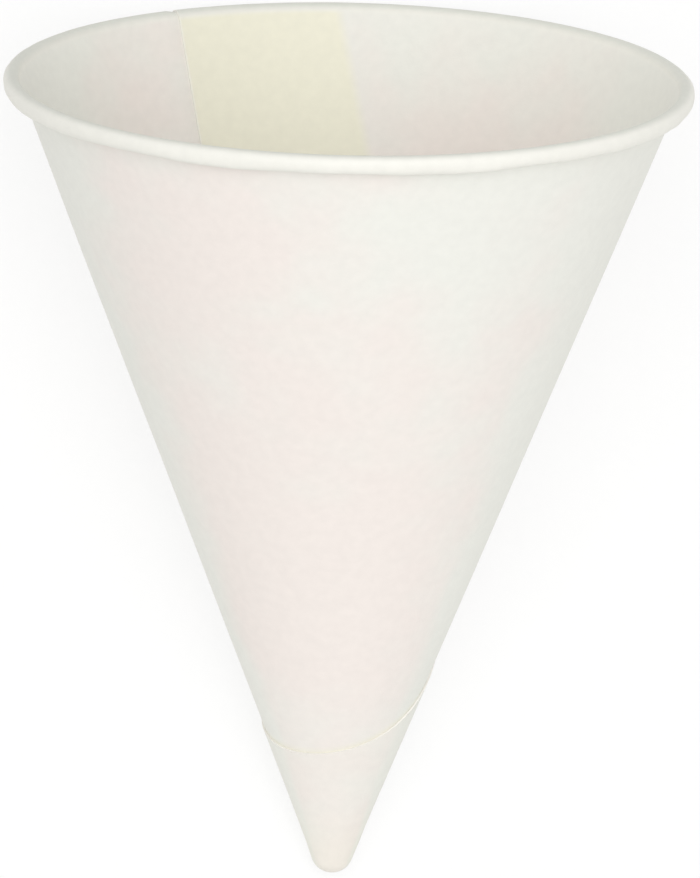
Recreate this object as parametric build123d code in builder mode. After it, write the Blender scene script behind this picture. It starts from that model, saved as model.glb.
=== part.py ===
from build123d import *

import os
from math import acos, asin, atan2, cos, degrees, hypot, radians, sin, tan

# A cone paper cup. One blank of paper is wound into a cone, glued along a wide
# lap, gathered round at the tip and curled outward into a lip at the rim.
# Millimetres and degrees. Turns are counted the way the paper is wound, which is
# clockwise seen from the mouth, from the inner cut edge of the blank.

# The finished cup, over everything.
rim_diameter = 73.0
cup_height = 88.9
tip_radius = 2.3
lip_thickness = 1.75
paper = 0.2

# The cut edge of the curled lip stops this far short of the doubled wall. The
# curl is rolled in narrow flats, which stray from its circle by a few hundredths
# of a millimetre.
lip_clearance = 0.1
curl_flats = 12

# The outer cut of the blank passes the apex of the cone at this distance, and
# leans this much from the line of the inner cut. It follows the tip this far
# round before the blank ends.
lap_width = 19.9
lap_lean = 1.0
lap_turn = 335.0

# The outer ply climbs onto the inner cut edge over this much of a turn.
climb_turn = 3.0

# At the tip the gathered plies stand a little proud of the doubled wall, inside
# and out, and fade into it this far up from the apex.
gather_swell = 0.1
gather_reach = 9.0

# The slope of the wall: its inner face touches the circle of the lip from
# within, and the circle of the tip from outside.
lip_radius = lip_thickness / 2
lip_circle = rim_diameter / 2 - lip_radius
tip_hollow = tip_radius - 2 * paper - gather_swell
centre_rise = cup_height - lip_radius - tip_radius
centre_span = hypot(lip_circle, centre_rise)
centre_slope = atan2(lip_circle, centre_rise)
half_angle = centre_slope - asin((lip_radius + tip_hollow) / centre_span)

# Distances up the wall from the apex of its inner face.
tip_slant = tip_hollow / tan(half_angle)
lip_slant = (lip_circle - lip_radius * cos(half_angle)) / sin(half_angle)

tip_height = tip_hollow / sin(half_angle)
lip_height = tip_height + centre_rise

# The curl runs from the wall over the top and down to its cut edge.
curl_start = 180 - degrees(half_angle)
curl_gap = acos((lip_radius - 2 * paper - lip_clearance) / lip_radius)
curl_turn = 360 - degrees(curl_gap)

# The turn at which the outer cut comes nearest to the apex.
nearest_turn = (90 - lap_lean) / sin(half_angle)

winding_axis = Axis((0, 0, 0), (0, 0, -1))


def on_wall(slant, depth):
    """Radius and height of a point up the wall and out from its inner face."""
    radius = slant * sin(half_angle) + depth * cos(half_angle)
    height = slant * cos(half_angle) - depth * sin(half_angle)
    return radius, height


def radial_plane(turn):
    """The plane of the axis and of the paper at this turn, with radius as its x."""
    across = (cos(radians(turn)), -sin(radians(turn)), 0)
    normal = (-sin(radians(turn)), -cos(radians(turn)), 0)
    return Plane(origin=(0, 0, 0), x_dir=across, z_dir=normal)


def curl_points(depth):
    """The curl at one depth, from the top of the wall to the cut edge of the lip."""
    radius = lip_radius - depth
    angles = [radians(curl_start - curl_turn * flat / curl_flats) for flat in range(curl_flats + 1)]
    return [(lip_circle + radius * cos(angle), lip_height + radius * sin(angle)) for angle in angles]


def ply_section(inner, outer):
    """The paper between two depths, cut along the axis: straight wall and curl."""
    with BuildLine() as outline:
        Line(on_wall(tip_slant, inner), on_wall(lip_slant, inner))
        outside = Polyline(curl_points(inner))
        inside = Polyline(curl_points(outer))
        Line(outside @ 1, inside @ 1)
        Line(on_wall(lip_slant, outer), on_wall(tip_slant, outer))
        Line(on_wall(tip_slant, outer), on_wall(tip_slant, inner))
    make_face(outline.edges())


def tip_round(radius, fade):
    """How far an arc of the tip runs from the bottom, to meet a line from fade."""
    across = fade[0]
    up = fade[1] - tip_height
    return 90 + degrees(atan2(up, across) - acos(radius / hypot(across, up)))


def cut_point(along, depth):
    """A point of the outer cut: straight in the flat blank, wound onto the cone."""
    slant = hypot(lap_width, along)
    turn = nearest_turn - degrees(atan2(along, lap_width)) / sin(half_angle)
    radius, height = on_wall(slant, depth)
    return radial_plane(turn).from_local_coords((radius, height, 0))


def cut_line(depth):
    """The outer cut at one depth, from past the end of the lap to above the lip."""
    overrun = radians((lap_turn + climb_turn - nearest_turn) * sin(half_angle))
    first = -lap_width * tan(overrun)
    last = lip_slant + lip_thickness
    steps = 40
    places = [first + (last - first) * step / steps for step in range(steps + 1)]
    with BuildLine() as line:
        Spline([cut_point(along, depth) for along in places])
    return line.edge()


# The lap: the second ply, trimmed by the outer cut. It is drawn from the middle
# of the first ply, so that the two are one wall where they are glued.
outer_cut = Face.make_surface_from_curves(cut_line(-paper), cut_line(lip_thickness + paper))

with BuildPart() as lap:
    with BuildSketch(radial_plane(0)):
        ply_section(paper / 2, 2 * paper)
    revolve(axis=winding_axis, revolution_arc=lap_turn)
    split(bisect_by=outer_cut, keep=Keep.TOP)

with BuildPart() as cup:
    # The first turn of the blank.
    with BuildSketch(radial_plane(0)):
        ply_section(0, paper)
    revolve(axis=winding_axis, revolution_arc=360 - climb_turn)

    # The gathered tip, a round shell that fades into the middle of the wall.
    with BuildSketch(radial_plane(0)):
        fade = on_wall(gather_reach, paper * 3 / 4)
        hollow = tip_hollow - gather_swell
        with BuildLine():
            inside = CenterArc((0, tip_height), hollow, -90, tip_round(hollow, fade))
            outside = CenterArc((0, tip_height), tip_radius, -90, tip_round(tip_radius, fade))
            Line(inside @ 0, outside @ 0)
            Line(inside @ 1, fade)
            Line(fade, outside @ 1)
        make_face()
    revolve(axis=Axis.Z)

    add(lap.part)

    # The step of the outer ply over the inner cut edge.
    with BuildSketch(radial_plane(-climb_turn)):
        ply_section(0, paper)
    with BuildSketch(radial_plane(0)):
        ply_section(paper, 2 * paper)
    loft(ruled=True)

# The cup can't stand on its tip. It lies on the round of the tip and on the lip,
# with the mouth towards +Y and its heavier side, the lap, underneath.
balance = cup.part.center(CenterOf.MASS)
heavy_side = degrees(atan2(balance.Y, balance.X))
lie_angle = centre_slope - asin((tip_radius - lip_radius) / centre_span)
tip_reach = tip_height * cos(lie_angle) - tip_radius
lip_reach = lip_height * cos(lie_angle) + lip_circle * sin(lie_angle) + lip_radius
floor_lift = tip_radius - tip_height * sin(lie_angle)
lying_down = Pos(0, -(tip_reach + lip_reach) / 2, floor_lift) * Rot(X=degrees(lie_angle) - 90)
heavy_down = Rot(Z=90 - heavy_side)

with BuildPart() as cone_cup:
    add(cup.part.moved(lying_down * heavy_down))

cone_cup.part.label = "cone_cup"
os.makedirs("parts", exist_ok=True)
export_step(cone_cup.part, "parts/cone_cup.step")
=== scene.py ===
from math import acos, asin, atan2, cos, hypot, pi, radians, sin, tan

import bpy
from mathutils import Matrix, Vector


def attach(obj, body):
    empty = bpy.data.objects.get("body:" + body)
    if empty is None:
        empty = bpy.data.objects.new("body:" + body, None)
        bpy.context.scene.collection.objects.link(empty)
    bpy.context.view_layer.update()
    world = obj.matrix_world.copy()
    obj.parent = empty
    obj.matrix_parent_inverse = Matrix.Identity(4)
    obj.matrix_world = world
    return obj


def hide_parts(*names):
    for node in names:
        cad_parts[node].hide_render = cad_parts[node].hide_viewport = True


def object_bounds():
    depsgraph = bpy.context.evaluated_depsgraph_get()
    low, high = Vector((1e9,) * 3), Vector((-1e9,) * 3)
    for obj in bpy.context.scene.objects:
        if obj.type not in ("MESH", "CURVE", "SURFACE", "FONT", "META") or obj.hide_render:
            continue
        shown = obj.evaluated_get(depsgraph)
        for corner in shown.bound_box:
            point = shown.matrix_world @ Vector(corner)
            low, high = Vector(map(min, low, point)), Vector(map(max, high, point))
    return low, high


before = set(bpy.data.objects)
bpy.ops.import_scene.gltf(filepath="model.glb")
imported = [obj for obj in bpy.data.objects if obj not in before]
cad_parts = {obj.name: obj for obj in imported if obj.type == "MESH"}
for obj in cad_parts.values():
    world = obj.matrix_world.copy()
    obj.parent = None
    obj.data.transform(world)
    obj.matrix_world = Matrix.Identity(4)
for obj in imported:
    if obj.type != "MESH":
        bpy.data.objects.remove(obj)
cad_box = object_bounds()

# The cup is one sheet of uncoated white paper. It is wound more than once into a
# cone, glued along a wide lap, gathered round at the tip and curled outward into a
# lip at the rim.
#
# Its sizes are in metres: over the rim, over the height, across the curled lip and
# round the outside of the tip. The gathered plies stand proud of the wall by the
# swell, which fades out at the reach, measured up the wall from the apex.
rim_diameter = 0.0730
cup_height = 0.0889
lip_thickness = 0.00175
tip_radius = 0.0023
paper = 0.0002
gather_swell = 0.0001
gather_reach = 0.009

# The wall's inner face touches the lip's circle from within and the tip's from
# outside. A slant is a distance up that face from the apex.
lip_radius = lip_thickness / 2
lip_circle = rim_diameter / 2 - lip_radius
tip_hollow = tip_radius - 2 * paper - gather_swell
centre_rise = cup_height - lip_radius - tip_radius
centre_span = hypot(lip_circle, centre_rise)
centre_slope = atan2(lip_circle, centre_rise)
half_angle = centre_slope - asin((lip_radius + tip_hollow) / centre_span)
tip_height = tip_hollow / sin(half_angle)
tip_slant = tip_hollow / tan(half_angle)
lip_height = tip_height + centre_rise
lip_slant = (lip_circle - lip_radius * cos(half_angle)) / sin(half_angle)

# The cup lies on its side, on the round of its tip and on its lip, with the mouth
# towards +Y. Its own axes run sideways, down towards the floor and up its middle
# from the apex. The inner cut edge of the paper lies a third of a turn from sideways.
lie_angle = centre_slope - asin((tip_radius - lip_radius) / centre_span)
sideways = Vector((1, 0, 0))
downward = Vector((0, sin(lie_angle), -cos(lie_angle)))
upward = Vector((0, cos(lie_angle), sin(lie_angle)))
tip_centre = Vector((0, cad_box[0].y + tip_radius, cad_box[0].z + tip_radius))
lying = Matrix((sideways, downward, upward)).transposed().to_4x4()
lying.translation = tip_centre - upward * tip_height
inner_edge = radians(115.97)


class Wire:
    """A node's output to reckon with: each operation on it adds its Math node."""

    def __init__(self, tree, socket=None):
        self.tree = tree
        self.socket = socket

    def node(self, kind, settings=None, inputs=None, output=0):
        """One output of a new node, after its settings and then its inputs are filled in."""
        made = self.tree.nodes.new(kind)
        for name, value in (settings or {}).items():
            setattr(made, name, value)
        for name, value in (inputs or {}).items():
            if isinstance(value, Wire):
                self.tree.links.new(value.socket, made.inputs[name])
            else:
                made.inputs[name].default_value = value
        return Wire(self.tree, made.outputs[output])

    def math(self, operation, *values):
        return self.node("ShaderNodeMath", {"operation": operation}, dict(enumerate(values)))

    def __add__(self, other):
        return self.math("ADD", self, other)

    def __sub__(self, other):
        return self.math("SUBTRACT", self, other)

    def __rsub__(self, other):
        return self.math("SUBTRACT", other, self)

    def __mul__(self, other):
        return self.math("MULTIPLY", self, other)

    def __truediv__(self, other):
        return self.math("DIVIDE", self, other)

    def __rtruediv__(self, other):
        return self.math("DIVIDE", other, self)

    __radd__ = __add__
    __rmul__ = __mul__

    def sin(self):
        return self.math("SINE", self)

    def cos(self):
        return self.math("COSINE", self)

    def at_most(self, other):
        return self.math("MINIMUM", self, other)

    def at_least(self, other):
        return self.math("MAXIMUM", self, other)

    def above(self, other):
        """1 where the value is greater than the other, and 0 elsewhere."""
        return self.math("GREATER_THAN", self, other)

    def share(self, start, end):
        """How far the value has come from start to end, from 0 to 1."""
        return ((self - start) / (end - start)).at_least(0).at_most(1)

    def ease(self, start, end):
        """The same, leaving start and reaching end softly."""
        share = self.share(start, end)
        return share * share * (3 - 2 * share)


# The blank is cut along a straight line on the outside of the lap, which passes the
# apex at the lap's width and leans from the line of the inner cut. Near the tip the
# second ply goes on round by the lap's turn. It lies a hair of glue off the first,
# and climbs on to it within the climb's turn. The curl ends a clearance short of
# the doubled wall.
lap_width = 0.0199
lap_lean = radians(1.0)
lap_turn = radians(335)
climb_turn = radians(1.5)
glue = 0.00001
lip_clearance = 0.0001
nearest_turn = (pi / 2 - lap_lean) / sin(half_angle)
curl_start = pi - half_angle
curl_turn = 2 * pi - acos((lip_radius - 2 * paper - lip_clearance) / lip_radius)

# The lower half of the lip hangs deeper than round by the droop's share. The rim is
# lifted on the side that faces the camera, from the lift's reach below the lip.
lip_droop = 0.28
rim_lift = 0.00025
lift_side = radians(-112)
lift_reach = 0.02

# In its mesh a column is a place round the cone and a row is a place up the flat
# sheet, with more rows at the tip and in the curl. Points nearer to each other than
# the weld are merged, which closes the tip.
columns = 520
tip_rows = 10
wall_rows = 44
curl_rows = 22
rows = tip_rows + wall_rows + curl_rows
weld = paper / 50

wind = bpy.data.node_groups.new("wind the blank", "GeometryNodeTree")
wind.interface.new_socket("Cup", in_out="OUTPUT", socket_type="NodeSocketGeometry")
blank_sizes = {
    "Half Angle": half_angle,
    "Tip Hollow": tip_hollow,
    "Tip Height": tip_height,
    "Tip Slant": tip_slant,
    "Lip Slant": lip_slant,
    "Lip Radius": lip_radius,
    "Curl Start": curl_start,
    "Curl Turn": curl_turn,
    "Paper": paper,
    "Lap Width": lap_width,
    "Lap Turn": lap_turn,
    "Nearest Turn": nearest_turn,
    "Climb Turn": climb_turn,
    "Gather Swell": gather_swell,
    "Gather Reach": gather_reach,
    "Inner Edge": inner_edge,
    "Lip Droop": lip_droop,
    "Rim Lift": rim_lift,
}
for name, value in blank_sizes.items():
    socket = wind.interface.new_socket(name, in_out="INPUT", socket_type="NodeSocketFloat")
    socket.default_value = value
entry = wind.nodes.new("NodeGroupInput")
size = {name: Wire(wind, entry.outputs[name]) for name in blank_sizes}

# A flat grid one unit wide is read as the turn round the cone and the row up it.
one_wide = {"Size X": 1.0, "Size Y": 1.0, "Vertices X": columns + 1, "Vertices Y": rows + 1}
flat = Wire(wind).node("GeometryNodeMeshGrid", None, one_wide)
place = flat.node("GeometryNodeInputPosition")
place_x = place.node("ShaderNodeSeparateXYZ", None, {0: place}, 0)
place_y = place.node("ShaderNodeSeparateXYZ", None, {0: place}, 1)
turn = (place_x + 0.5) * (size["Lap Turn"] + 2 * pi)
row = (place_y + 0.5) * rows

# How far up the sheet each row reaches. The second ply stops at the outer cut.
tip_length = (pi / 2 - size["Half Angle"]) * size["Tip Hollow"]
curl_length = size["Curl Turn"] * size["Lip Radius"]
whole_reach = (
    size["Tip Slant"]
    - tip_length * (1 - row.share(0, tip_rows))
    + (size["Lip Slant"] - size["Tip Slant"]) * row.share(tip_rows, tip_rows + wall_rows)
    + curl_length * row.share(tip_rows + wall_rows, rows)
)
from_nearest = (turn - 2 * pi - size["Nearest Turn"]) * size["Half Angle"].sin()
cut_reach = whole_reach.at_most(size["Lap Width"] / from_nearest.cos())
reach = whole_reach + (cut_reach - whole_reach) * turn.above(2 * pi)

# The flat sheet is kept as the UV map, a tenth of a metre to 0.45, and the turn as
# an attribute, so that the tones of the lap, the lip and the tip follow the winding.
map_scale = 4.5
around = turn * size["Half Angle"].sin()
sheet_place = {
    0: 0.5 + map_scale * reach * around.cos(),
    1: 0.5 + map_scale * reach * around.sin(),
}
sheet = place.node("ShaderNodeCombineXYZ", None, sheet_place)
store = "GeometryNodeStoreNamedAttribute"
as_map = {"data_type": "FLOAT2", "domain": "CORNER"}
as_number = {"data_type": "FLOAT", "domain": "POINT"}
sheet_kept = {"Geometry": flat, "Name": "sheet", "Value": sheet}
cup_shape = flat.node(store, as_map, sheet_kept)
turn_kept = {"Geometry": cup_shape, "Name": "turn", "Value": turn}
cup_shape = cup_shape.node(store, as_number, turn_kept)

# Winding it: the tip is gathered round, the wall is straight, and the rim is
# curled outward into the lip. The second ply climbs over the inner cut edge, and
# the gathered plies stand a little proud of the wall.
depth = (size["Paper"] + glue) * turn.ease(2 * pi - size["Climb Turn"], 2 * pi)
swell = size["Gather Swell"] * (1 - reach.ease(size["Tip Slant"], size["Gather Reach"]))
round_tip = reach.share(size["Tip Slant"] - tip_length, size["Tip Slant"])
up_wall = reach.share(size["Tip Slant"], size["Lip Slant"])
round_lip = reach.share(size["Lip Slant"], size["Lip Slant"] + curl_length)
tip_turn = (pi / 2 - size["Half Angle"]) * round_tip
wall_run = (size["Lip Slant"] - size["Tip Slant"]) * up_wall
curl = size["Curl Start"] - size["Curl Turn"] * round_lip
tip_round = size["Tip Hollow"] + depth + swell
lip_round = size["Lip Radius"] - depth
radius = (
    tip_round * tip_turn.sin()
    + wall_run * size["Half Angle"].sin()
    + lip_round * (curl.cos() - size["Curl Start"].cos())
)
azimuth = size["Inner Edge"] - turn
towards_lift = 0.5 + 0.5 * (azimuth - lift_side).cos()
lifted = towards_lift * towards_lift
lift_start = size["Lip Slant"] - lift_reach
height = (
    size["Tip Height"]
    - tip_round * tip_turn.cos()
    + wall_run * size["Half Angle"].cos()
    + lip_round * (curl.sin() - size["Curl Start"].sin())
    + lip_round * size["Lip Droop"] * curl.sin().at_most(0)
    + size["Rim Lift"] * lifted * reach.ease(lift_start, size["Lip Slant"])
)
wound_place = {0: radius * azimuth.cos(), 1: radius * azimuth.sin(), 2: height}
wound = place.node("ShaderNodeCombineXYZ", None, wound_place)

# The paper gives a little: the wall is never quite round, the gathers at the tip
# pucker, the curl is finely crimped and the underside of the lip is uneven. Each
# wave has a height in metres and a scale in waves per metre.
wall_wave = 0.00025
wall_wave_scale = 28.0
tip_wave = 0.00022
crimp_wave = 0.00015
pucker_scale = 420.0
lip_wave = 0.0006
lip_wave_scale = 130.0

# The wall's waves grow from the tip and die out at the stiff rim, the tip's fade up
# the wall, and those of the lip grow along the curl, all measured up the sheet.
wall_wave_full = 3 * gather_reach
stiff_rim = lip_slant - 4 * lip_radius
pucker_end = 2 * gather_reach
crimp_start = lip_slant + 0.3 * lip_radius
crimp_full = lip_slant + 1.5 * lip_radius
sag_start = lip_slant + 1.5 * lip_radius
sag_full = lip_slant + 3.5 * lip_radius


def unevenness(scale):
    """Soft waves through the wound cup, even about nothing."""
    waves = {"Vector": wound, "Scale": scale, "Detail": 1.0}
    return place.node("ShaderNodeTexNoise", None, waves) - 0.5


bend = unevenness(wall_wave_scale)
pucker = unevenness(pucker_scale)
ripple = unevenness(lip_wave_scale)
on_wall = reach.ease(tip_slant, wall_wave_full) * (1 - reach.ease(stiff_rim, lip_slant))
on_tip = 1 - reach.ease(tip_slant, pucker_end)
on_curl = reach.ease(crimp_start, crimp_full)
on_lip = reach.ease(sag_start, sag_full)
give = wall_wave * bend * on_wall + (tip_wave * on_tip + crimp_wave * on_curl) * pucker
sag = lip_wave * ripple * on_lip
given_way = {0: give * azimuth.cos(), 1: give * azimuth.sin(), 2: sag}
moved = place.node("ShaderNodeCombineXYZ", None, given_way)
wound_sheet = {"Geometry": cup_shape, "Position": wound, "Offset": moved}
cup_shape = cup_shape.node("GeometryNodeSetPosition", None, wound_sheet)
welded = {"Geometry": cup_shape, "Distance": weld}
cup_shape = cup_shape.node("GeometryNodeMergeByDistance", None, welded)
cup_shape = cup_shape.node("GeometryNodeSetShadeSmooth", None, {"Geometry": cup_shape})

# The paper is matt. One ply lets some light through and looks pinkish grey with
# cooler clouds, and two plies look cream. The lip is whiter. Painted shade makes the
# crest of the curl greyer and the cup's two flanks cooler, and a painted highlight
# makes a strip along the inner cut paler.
single_ply = (0.865, 0.80, 0.755, 1)
# Also the colour of the painted cool shade on the two flanks.
cool_cloud_and_side_shade = (0.835, 0.835, 0.78, 1)
double_ply = (0.86, 0.84, 0.70, 1)
rolled_lip = (0.86, 0.85, 0.79, 1)
# Painted shade: the crest of the curl, greyer where it turns from the light.
crest_shade_colour = (0.705, 0.71, 0.65, 1)
# Painted highlight along the inner cut edge.
cut_highlight = (0.89, 0.875, 0.79, 1)

# Inside, the cream of the lap fades across its outer cut, from a little within the
# cut to a little past it. Outside, the lap has only a faint tint of cream, which is
# stronger where the tip is gathered and fades up the sheet.
cream_within = 0.0006
cream_past = 0.0010
wall_tint = 0.06
tip_tint = 0.30
tip_tint_full = 0.005
tip_tint_end = 0.014

# Places up the sheet where the lip's white starts and is full, and where the painted
# shade on the crest starts, is full, starts to fade and is gone. The painted highlight
# along the inner cut is half a degree wide.
white_start = lip_slant - 0.0006
white_full = lip_slant + 0.0002
crest_start = lip_slant - 0.3 * lip_radius
crest_full = lip_slant + 0.8 * lip_radius
crest_fade = lip_slant + 1.2 * lip_radius
crest_end = lip_slant + 2.3 * lip_radius
highlight_turn = radians(0.5)

# The cool clouds are random. A painted cool shade is added round the side shade turn
# and on the opposite side, the two flanks of the lying cup, where the light grazes.
# The scales are per metre, and so is the painted side light, which brightens the
# paper from one side of the cup to the other.
cloud_place = (0.42, -0.03, -0.30)
cloud_scale = 20.0
cloud_detail = 4.0
cloud_roughness = 0.7
side_shade_turn = radians(122)
side_shade_share = 0.25
cool_start = 0.40
cool_full = 0.64
formation_scale = 900.0
fibre_scale = 3200.0
fibre_twist = 1.2
grain_detail = 3.0
speck_base = 0.965
speck_spread = 0.08
# Painted light: the paper brightens from -X to +X.
painted_side_light = 1.0

# The surface: its roughness, its tooth, which is mostly fibres, and a weak gloss.
smoothest = 0.56
roughness_spread = 0.12
tooth_strength = 0.3
tooth_height = 0.00006
fibre_tooth = 0.6
formation_tooth = 0.4
gloss = 0.35

paper_finish = bpy.data.materials.new("white paper")
paper_finish.use_nodes = True
shader = paper_finish.node_tree.nodes["Principled BSDF"]
look = Wire(paper_finish.node_tree)
solid = look.node("ShaderNodeTexCoord", None, None, "Object")
sheet_map = look.node("ShaderNodeUVMap", {"uv_map": "sheet"})
sheet_x = (look.node("ShaderNodeSeparateXYZ", None, {0: sheet_map}, 0) - 0.5) / map_scale
sheet_y = (look.node("ShaderNodeSeparateXYZ", None, {0: sheet_map}, 1) - 0.5) / map_scale
wound_turn = look.node("ShaderNodeAttribute", {"attribute_name": "turn"}, None, "Fac")

cut_heading = pi / 2 - lap_lean
to_cut = sheet_x * cos(cut_heading) + sheet_y * sin(cut_heading) - lap_width
covered = 1 - to_cut.ease(-cream_within, cream_past)
up_sheet = look.math("SQRT", sheet_x * sheet_x + sheet_y * sheet_y)
at_tip = 1 - up_sheet.ease(tip_tint_full, tip_tint_end)
outer_tint = wall_tint + (tip_tint - wall_tint) * at_tip
climbed = wound_turn.ease(2 * pi - climb_turn, 2 * pi)
doubled = covered + (outer_tint - covered) * climbed
rolled = up_sheet.ease(white_start, white_full)
# The crest's grey is painted shade.
crest = up_sheet.ease(crest_start, crest_full) * (1 - up_sheet.ease(crest_fade, crest_end))
# The pale strip along the inner cut is a painted highlight.
cut_highlight_mask = (1 - wound_turn.ease(0, highlight_turn)) * (1 - rolled)

cloud_settings = {
    "Vector": look.node("ShaderNodeMapping", None, {"Vector": solid, "Location": cloud_place}),
    "Scale": cloud_scale,
    "Detail": cloud_detail,
    "Roughness": cloud_roughness,
}
clouds = look.node("ShaderNodeTexNoise", None, cloud_settings)
formation_settings = {"Vector": solid, "Scale": formation_scale, "Detail": grain_detail}
formation = look.node("ShaderNodeTexNoise", None, formation_settings)
fibre_settings = {
    "Vector": solid,
    "Scale": fibre_scale,
    "Detail": grain_detail,
    "Distortion": fibre_twist,
}
fibre = look.node("ShaderNodeTexNoise", None, fibre_settings)


def mixed(amount, first, second, blend="MIX"):
    """Two colours of the paper, mixed by an amount."""
    how = {"data_type": "RGBA", "blend_type": blend}
    return look.node("ShaderNodeMix", how, {0: amount, 6: first, 7: second}, 2)


# Painted cool shade on the two flanks, mixed with the random cool clouds.
side_shade_tint = (2 * (wound_turn - side_shade_turn)).cos().at_least(0)
clouds_and_side_shade = (clouds + side_shade_share * side_shade_tint).ease(cool_start, cool_full)
plain = mixed(clouds_and_side_shade, single_ply, cool_cloud_and_side_shade)
tone = mixed(doubled, plain, double_ply)
tone = mixed(rolled, tone, rolled_lip)
tone = mixed(crest, tone, crest_shade_colour)
tone = mixed(cut_highlight_mask, tone, cut_highlight)
# A painted light gradient, brighter towards +X, mixed into the random specks.
side_light_across = look.node("ShaderNodeSeparateXYZ", None, {0: solid}, 0)
speck_and_side_light = speck_base + speck_spread * formation + painted_side_light * side_light_across
speck_and_side_light_colour = look.node("ShaderNodeCombineColor", None, {0: speck_and_side_light, 1: speck_and_side_light, 2: speck_and_side_light})
tone = mixed(1.0, tone, speck_and_side_light_colour, "MULTIPLY")
tooth_settings = {
    "Strength": tooth_strength,
    "Distance": tooth_height,
    "Height": fibre * fibre_tooth + formation * formation_tooth,
}
tooth = look.node("ShaderNodeBump", None, tooth_settings)
roughness = smoothest + roughness_spread * formation
links = paper_finish.node_tree.links
links.new(tone.socket, shader.inputs["Base Color"])
links.new(roughness.socket, shader.inputs["Roughness"])
links.new(tooth.socket, shader.inputs["Normal"])
shader.inputs["Specular IOR Level"].default_value = gloss

# The cut edge of the sheet shows its bare fibres, which are rougher than its face.
bare_fibres = (0.84, 0.82, 0.775, 1)
fray_scale = 2600.0
fray_detail = 2.0
fray_smoothest = 0.75
fray_spread = 0.2
fray_strength = 0.4
fray_height = 0.00003

edge_finish = bpy.data.materials.new("cut paper edge")
edge_finish.use_nodes = True
edge_shader = edge_finish.node_tree.nodes["Principled BSDF"]
edge_look = Wire(edge_finish.node_tree)
edge_solid = edge_look.node("ShaderNodeTexCoord", None, None, "Object")
fray_settings = {"Vector": edge_solid, "Scale": fray_scale, "Detail": fray_detail}
frayed = edge_look.node("ShaderNodeTexNoise", None, fray_settings)
edge_settings = {"Strength": fray_strength, "Distance": fray_height, "Height": frayed}
edge_tooth = edge_look.node("ShaderNodeBump", None, edge_settings)
edge_roughness = fray_smoothest + fray_spread * frayed
edge_links = edge_finish.node_tree.links
edge_links.new(edge_roughness.socket, edge_shader.inputs["Roughness"])
edge_links.new(edge_tooth.socket, edge_shader.inputs["Normal"])
edge_shader.inputs["Base Color"].default_value = bare_fibres

cup_shape = cup_shape.node("GeometryNodeRealizeInstances", None, {"Geometry": cup_shape})
finished = {"Geometry": cup_shape, "Material": paper_finish}
cup_shape = cup_shape.node("GeometryNodeSetMaterial", None, finished)
wind_end = wind.nodes.new("NodeGroupOutput")
wind.links.new(cup_shape.socket, wind_end.inputs["Cup"])

# Solidify gives the wound sheet its thickness, and gives its cut edges the next
# material after the paper's own, for which the winder needs slots of its own.
flat_mesh = bpy.data.meshes.new("winder")
for finish in (paper_finish, paper_finish, edge_finish):
    flat_mesh.materials.append(finish)
winder = bpy.data.objects.new("winder", flat_mesh)
bpy.context.collection.objects.link(winder)
winding = winder.modifiers.new("wind", "NODES")
winding.node_group = wind
for item in wind.interface.items_tree:
    if item.in_out == "INPUT":
        winding[item.identifier] = blank_sizes[item.name]
thicken = winder.modifiers.new("thickness", "SOLIDIFY")
thicken.thickness = paper
thicken.offset = -1
thicken.material_offset_rim = 1

# The finished cup is one plain mesh, laid on its side, and its cut edges stay crisp.
sharp_edge = radians(50)
worked = winder.evaluated_get(bpy.context.evaluated_depsgraph_get())
cup_mesh = bpy.data.meshes.new_from_object(worked)
bpy.data.objects.remove(winder)
cup_mesh.transform(lying)
cup_mesh.materials[0] = paper_finish
cup_mesh.materials.append(edge_finish)
cup_mesh.set_sharp_from_angle(angle=sharp_edge)
cup = bpy.data.objects.new("paper_cup", cup_mesh)
bpy.context.collection.objects.link(cup)
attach(cup, "root")
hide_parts("cone_cup")

# The floor is a plain white sheet, three metres from its middle to each side. The
# camera sees it near white by its glow, and it keeps the cup's soft shadow.
floor_reach = 3.0
floor_white = (0.93, 0.93, 0.92, 1)
floor_glow = 0.76

floor_mesh = bpy.data.meshes.new("floor")
around_floor = ((-1, -1), (1, -1), (1, 1), (-1, 1))
corners = [(x * floor_reach, y * floor_reach, 0) for x, y in around_floor]
floor_mesh.from_pydata(corners, [], [(0, 1, 2, 3)])
floor = bpy.data.objects.new("floor", floor_mesh)
bpy.context.collection.objects.link(floor)
floor_finish = bpy.data.materials.new("white floor")
floor_finish.use_nodes = True
floor_nodes = floor_finish.node_tree.nodes
floor_nodes.remove(floor_nodes["Principled BSDF"])
ground = Wire(floor_finish.node_tree)
matt = ground.node("ShaderNodeBsdfDiffuse", None, {"Color": floor_white})
glow = ground.node("ShaderNodeEmission", None, {"Color": (1, 1, 1, 1), "Strength": 1.0})
seen = ground.node("ShaderNodeLightPath", None, None, "Is Camera Ray")
white = ground.node("ShaderNodeMixShader", None, {0: seen * floor_glow, 1: matt, 2: glow})
floor_end = floor_nodes["Material Output"].inputs["Surface"]
floor_finish.node_tree.links.new(white.socket, floor_end)
floor_mesh.materials.append(floor_finish)

# Soft studio light: an even surround, which the camera sees as white, and one large
# lamp overhead, a little towards the tip and to the left in the picture.
surround_light = 0.63
lamp_width = 0.9
lamp_depth = 0.7
lamp_power = 5.15
lamp_place = Vector((-0.05, -0.06, 0.95))
lamp_aim = Vector((0, 0, 0.03))

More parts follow.
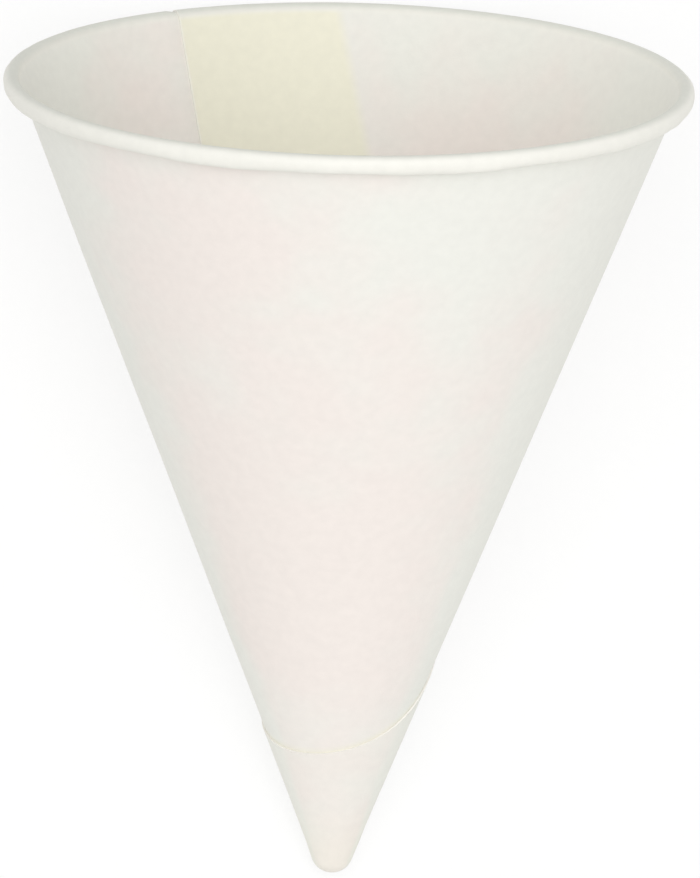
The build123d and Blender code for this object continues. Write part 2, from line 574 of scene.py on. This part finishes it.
world = bpy.data.worlds.new("white surround")
bpy.context.scene.world = world
world.use_nodes = True
surround = world.node_tree.nodes["Background"]
sky = Wire(world.node_tree)
sky_seen = sky.node("ShaderNodeLightPath", None, None, "Is Camera Ray")
sky_strength = surround_light + (1 - surround_light) * sky_seen
world.node_tree.links.new(sky_strength.socket, surround.inputs["Strength"])
surround.inputs["Color"].default_value = (1, 1, 1, 1)

lamp_data = bpy.data.lights.new("softbox", "AREA")
lamp_data.shape = "RECTANGLE"
lamp_data.size = lamp_width
lamp_data.size_y = lamp_depth
lamp_data.energy = lamp_power
lamp = bpy.data.objects.new("softbox", lamp_data)
lamp.location = lamp_place
lamp.rotation_euler = (lamp_aim - lamp_place).to_track_quat("-Z", "Y").to_euler()
bpy.context.collection.objects.link(lamp)

# The camera looks down on the lying cup as the photograph looks at the upright one:
# into its mouth from a little above the rim, with the lap's inner edge at the back.
# It turns and rises round the cup's middle, and aims at a point given up the cup's
# axis from the apex and to the side of it. Lens and sensor are in millimetres.
camera_turn = radians(-96.70)
camera_rise = radians(16.43)
camera_distance = 0.764
camera_lens = 292
camera_sensor = 36
aim_side = 0.00094
aim_height = 0.05185
picture_lean = radians(1.293)

camera_data = bpy.data.cameras.new("camera")
camera_data.lens = camera_lens
camera_data.sensor_width = camera_sensor
camera = bpy.data.objects.new("camera", camera_data)
bpy.context.collection.objects.link(camera)
bpy.context.scene.camera = camera
apex = lying.translation
facing = sideways * cos(camera_turn) + downward * sin(camera_turn)
beside = sideways * -sin(camera_turn) + downward * cos(camera_turn)
middle = apex + upward * (tip_height + lip_height) / 2
eye = middle + (facing * cos(camera_rise) + upward * sin(camera_rise)) * camera_distance
sight = (apex + upward * aim_height + beside * aim_side - eye).normalized()
level = (upward - sight * upward.dot(sight)).normalized()
right = sight.cross(level)
picture_up = level * cos(picture_lean) - right * sin(picture_lean)
picture_right = sight.cross(picture_up)
looking = Matrix((picture_right, picture_up, -sight)).transposed().to_4x4()
camera.matrix_world = Matrix.Translation(eye) @ looking

bpy.context.scene.view_settings.view_transform = "Standard"
